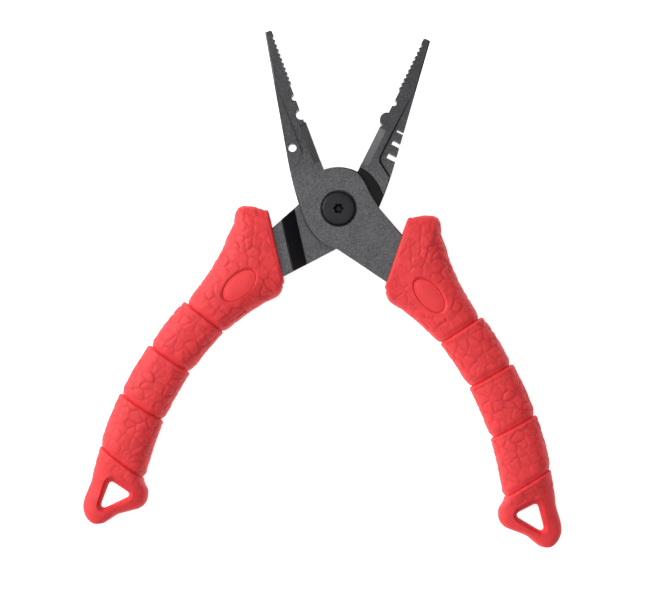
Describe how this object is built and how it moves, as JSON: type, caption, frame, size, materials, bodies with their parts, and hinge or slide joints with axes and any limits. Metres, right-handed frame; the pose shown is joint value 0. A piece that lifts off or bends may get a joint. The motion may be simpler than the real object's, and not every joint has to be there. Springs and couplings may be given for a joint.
{
  "type": "fishing pliers",
  "caption": "Long-nose fishing pliers with toothed crimping jaws and side cutters, opening on a screwed lap joint, with segmented red grips that end in lanyard loops.",
  "frame": {"origin": "centre of the pivot at the back face of the barrel nut's flange, which is also the plane of the levers' back faces", "axes": "+Z along the pivot from the barrel nut to the screw's head; +Y from the pivot towards the jaws, along the line that halves the angle between them; +X completes the right-handed frame, towards the front lever's handle"},
  "size_m": [0.1566, 0.1638, 0.0146],
  "materials": {
    "coated_steel": "matte grey-black baked coating over the forged steel levers",
    "black_steel": "matte black oxide on the screw and its barrel nut",
    "black_polymer": "thin black polymer washer under the screw's head",
    "bronze": "plain bronze thrust washer between the levers",
    "red_rubber": "soft matte red grip skin with a cracked-leather relief",
    "red_nylon": "harder smooth red core under the grip skin"
  },
  "bodies": {
    "rear_half": {"rear_lever": "coated_steel", "pivot_sleeve": "black_steel", "pivot_screw": "black_steel", "joint_washer": "bronze", "head_washer": "black_polymer", "rear_grip_core": "red_nylon", "rear_grip": "red_rubber"},
    "front_half": {"front_lever": "coated_steel", "front_grip_core": "red_nylon", "front_grip": "red_rubber"}
  },
  "joints": [
    {"name": "jaw_pivot", "type": "hinge", "parent": "rear_half", "child": "front_half", "pos_m": [0, 0, 0.0045], "axis": [0, 0, 1], "range_deg": [-47, 20]}
  ]
}
